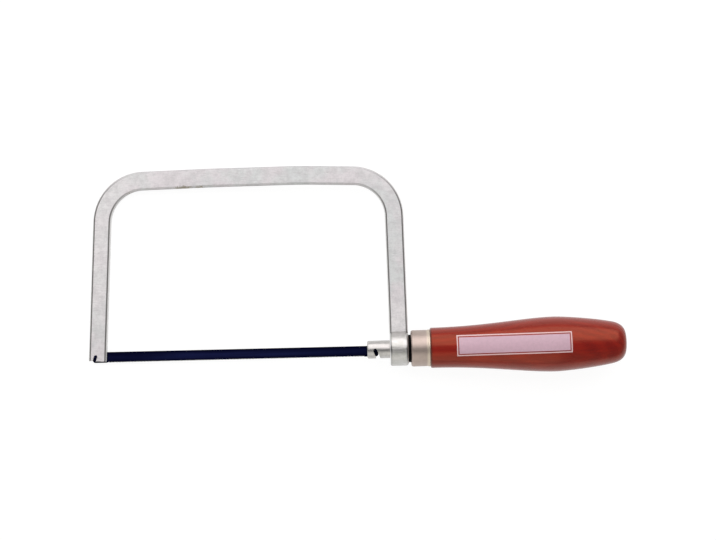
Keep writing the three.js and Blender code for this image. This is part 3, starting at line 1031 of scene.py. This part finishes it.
# Handle: turned from one piece of wood, tenon, shoulder, swelling belly and rounded butt
handle = {
    "front": 16.8,
    "length": 104.75,
    "tenonFront": 7.5,
    "tenonRadius": 8.65,
    "neck": 10.82,
    "edge": 0.7,
    "belly": 14.76,
    "bellyPlace": 67.0,
    "hip": 11.25,
    "hipSlope": 0.21,
    "buttLength": 6.85,
    "butt": 4.8,
    "pulls": (0.47, 0.25, 0.14, 0.34, 0.92, 0.21),
    "pocketEnd": 12.6,
    "pocketFlats": 10.4,
    "bore": 3.3,
    "boreEnd": 24.9,
    "steps": 112,
    "deep": (0.172, 0.0046, 0.0072, 1),
    "warm": (0.280, 0.0120, 0.0088, 1),
    "dark": (0.105, 0.0040, 0.0050, 1),
    "sheen": (1.0, 0.37, 0.20, 1),
    "heart": (0.004, -0.006),  # middle of the growth rings
}


def handleSpots():
    front = handle["front"]
    bellyX = front + handle["bellyPlace"]
    end = front + handle["length"]
    hipX = end - handle["buttLength"]
    neck, belly, hip, butt = handle["neck"], handle["belly"], handle["hip"], handle["butt"]
    neckPull, bellyPull, fallPull, hipPull, roundPull, buttPull = handle["pulls"]
    neckReach, bellyReach = neckPull * handle["bellyPlace"], bellyPull * handle["bellyPlace"]
    fallReach, hipReach = fallPull * (hipX - bellyX), hipPull * (hipX - bellyX)
    roundReach, buttReach = roundPull * handle["buttLength"], buttPull * (hip - butt)
    slope = handle["hipSlope"]
    neckEnd, bellyTop = (front + handle["edge"], neck), (bellyX, belly)
    hipEnd, buttEnd = (hipX, hip), (end, butt)
    curves = [
        (neckEnd, (front + neckReach, neck), (bellyX - bellyReach, belly), bellyTop),
        (bellyTop, (bellyX + fallReach, belly), (hipX - hipReach, hip + hipReach * slope), hipEnd),
        (hipEnd, (hipX + roundReach, hip - roundReach * slope), (end, butt + buttReach), buttEnd),
    ]
    shoulder = [
        (handle["tenonFront"], 0),
        (handle["tenonFront"], handle["tenonRadius"]),
        (front, handle["tenonRadius"]),
        (front, neck, handle["edge"]),
        (front + 2 * handle["edge"], neck),
    ]
    spots = profileSpots(shoulder, False, 5)[:-1]
    for knots in curves:
        points = interpolate_bezier(*[Vector((x, y, 0)) for x, y in knots], 33)
        spots.extend((point.x, point.y) for point in points[1:])
    return spots + [(end, 0)]


def makeHandle():
    piece = turnPiece("turned_handle", handleSpots(), handle["steps"])
    start = handle["tenonFront"] - 1.0

    # Hexagon pocket for the nut, then the bore for the rod
    for sides, radius, end in (
        (6, handle["pocketFlats"] / math.sqrt(3), handle["pocketEnd"]),
        (48, handle["bore"], handle["boreEnd"]),
    ):
        clearSelection()
        size = {"vertices": sides, "radius": radius, "depth": end - start}
        place = {"location": ((start + end) / 2, 0, 0), "rotation": (0, math.pi / 2, 0)}
        bpy.ops.mesh.primitive_cylinder_add(**size, **place)
        cutAway(piece, newPiece("bore_cutter"))
    return piece


# Growth rings about the tree's heart, wavering along the grain: streaks on the sides and rings on
# the butt
def growthRings(tree):
    heart = toolOrigin + Vector((0, *handle["heart"]))
    waver = noise(tree, objectPlace(tree, heart, (12, 120, 120)), 1.0, 3.0)
    far = vectorMaths(tree, "LENGTH", objectPlace(tree, heart, (0, 1, 1)))["Value"]
    phase = weigh(tree, far, 3600.0, waver, 16.0)
    return spread(tree, maths(tree, "SINE", phase), -1.0, 1.0, smooth=True)


def redLacquer():
    sheen = {"Specular_IOR_Level": 1.0, "Specular_Tint": handle["sheen"]}
    material, tree, shader = newMaterial("red_lacquer", **sheen)
    rings = growthRings(tree)
    fibre = noise(tree, objectPlace(tree, toolOrigin, (28, 900, 900)), 1.0, 4.0, 0.6)
    fibre = spread(tree, fibre, 0.35, 0.7)
    pores = noise(tree, objectPlace(tree, toolOrigin, (110, 2400, 2400)), 1.0, 2.0)
    pores = spread(tree, pores, 0.62, 0.72)
    grain = weigh(tree, rings, 0.45, fibre, 0.55)
    colour = mixColour(tree, grain, handle["deep"], handle["warm"])
    colour = mixColour(tree, maths(tree, "MULTIPLY", pores, 0.6), colour, handle["dark"])
    along = axes(tree, objectPlace(tree, toolOrigin))["X"]
    # Painted shade: darker on the shoulder, in the crease against the ferrule
    shoulder = fade(tree, along, handle["front"] + 1.2, handle["front"] + 0.3, 0.8)
    colour = mixColour(tree, shoulder, colour, handle["dark"])
    rough = spread(tree, grain, 0.0, 1.0, 0.29, 0.24)
    relief = bump(tree, maths(tree, "SUBTRACT", grain, pores), 0.00001)
    feed(tree, shader, Base_Color=colour, Roughness=rough, Normal=relief)
    return material


turnedHandle = makeHandle()
finishPiece(turnedHandle, redLacquer(), "handle", "handle")


# Printed panel on the handle's upper side: a thin border line around a plain field
panel = {
    "from": 30.5,
    "to": 91.4,
    "middle": 1.35,
    "turn": 0.4,
    "halfHeight": 5.55,
    "line": 0.6,
    "gap": 0.6,
    "ink": 0.025,
    "colour": (0.62, 0.42, 0.50, 1),
    "lineColour": (0.74, 0.54, 0.55, 1),
}


def makePanel():
    clearSelection()
    halfLength = (panel["to"] - panel["from"]) / 2
    bpy.ops.mesh.primitive_plane_add(size=2)
    piece = newPiece("printed_panel")
    piece.scale = (halfLength, panel["halfHeight"], 1)
    bpy.ops.object.transform_apply(location=True, rotation=True, scale=True)
    modeTo("EDIT")
    bpy.ops.mesh.select_mode(type="FACE")
    bpy.ops.mesh.select_all(action="SELECT")
    bpy.ops.mesh.inset(thickness=panel["line"])
    bpy.ops.mesh.inset(thickness=panel["gap"])

    # The ring between line and field stays bare
    bpy.ops.mesh.select_all(action="DESELECT")
    shape = bmesh.from_edit_mesh(piece.data)
    lineEdge = panel["halfHeight"] - panel["line"]
    fieldEdge = lineEdge - panel["gap"]
    for face in shape.faces:
        tops = [abs(v.co.y) for v in face.verts]
        face.select_set(max(tops) < lineEdge + 1e-3 and max(tops) > fieldEdge + 1e-3)
    bmesh.update_edit_mesh(piece.data)
    bpy.ops.mesh.delete(type="FACE")

    # Cuts across and along let it follow the wood
    for across, half, count in (((1, 0, 0), halfLength, 48), ((0, 1, 0), panel["halfHeight"], 20)):
        for i in range(1, count):
            spot = Vector(across) * half * (2 * i / count - 1)
            bpy.ops.mesh.select_all(action="SELECT")
            bpy.ops.mesh.bisect(plane_co=spot, plane_no=across)
    modeTo("OBJECT")
    sideEdge = halfLength - panel["line"]
    spots = [v.co for v in piece.data.vertices]
    border = [abs(c.y) > lineEdge - 1e-3 or abs(c.x) > sideEdge - 1e-3 for c in spots]
    setAttribute(piece, "border", border)
    piece.rotation_euler = (0, 0, math.radians(panel["turn"]))
    piece.location = ((panel["from"] + panel["to"]) / 2, panel["middle"], 20.0)
    bpy.ops.object.transform_apply(location=True, rotation=True, scale=True)
    settle(piece)

    wrap = piece.modifiers.new("lay", "SHRINKWRAP")
    wrap.target = turnedHandle
    wrap.wrap_method = "PROJECT"
    wrap.use_project_z = True
    wrap.use_negative_direction = True
    wrap.use_positive_direction = False
    wrap.offset = 0.005 * millimetre
    bpy.ops.object.modifier_apply(modifier="lay")
    ink = piece.modifiers.new("ink", "SOLIDIFY")
    ink.thickness = panel["ink"] * millimetre
    ink.offset = 1.0
    bpy.ops.object.modifier_apply(modifier="ink")
    return piece


def panelInk():
    material, tree, shader = newMaterial("panel_ink", Specular_IOR_Level=0.35)
    place = objectPlace(tree, toolOrigin)
    cloud = groupMask(tree, mottle, {"Vector": place, "Size": 700.0})
    thin = tuple(c * 0.9 for c in panel["colour"][:3]) + (1,)
    colour = mixColour(tree, cloud, panel["colour"], thin)
    colour = mixColour(tree, readAttribute(tree, "border"), colour, panel["lineColour"])
    feed(tree, shader, Base_Color=colour, Roughness=spread(tree, cloud, 0.0, 1.0, 0.35, 0.45))
    return material


dressPiece(makePanel(), panelInk(), "handle")
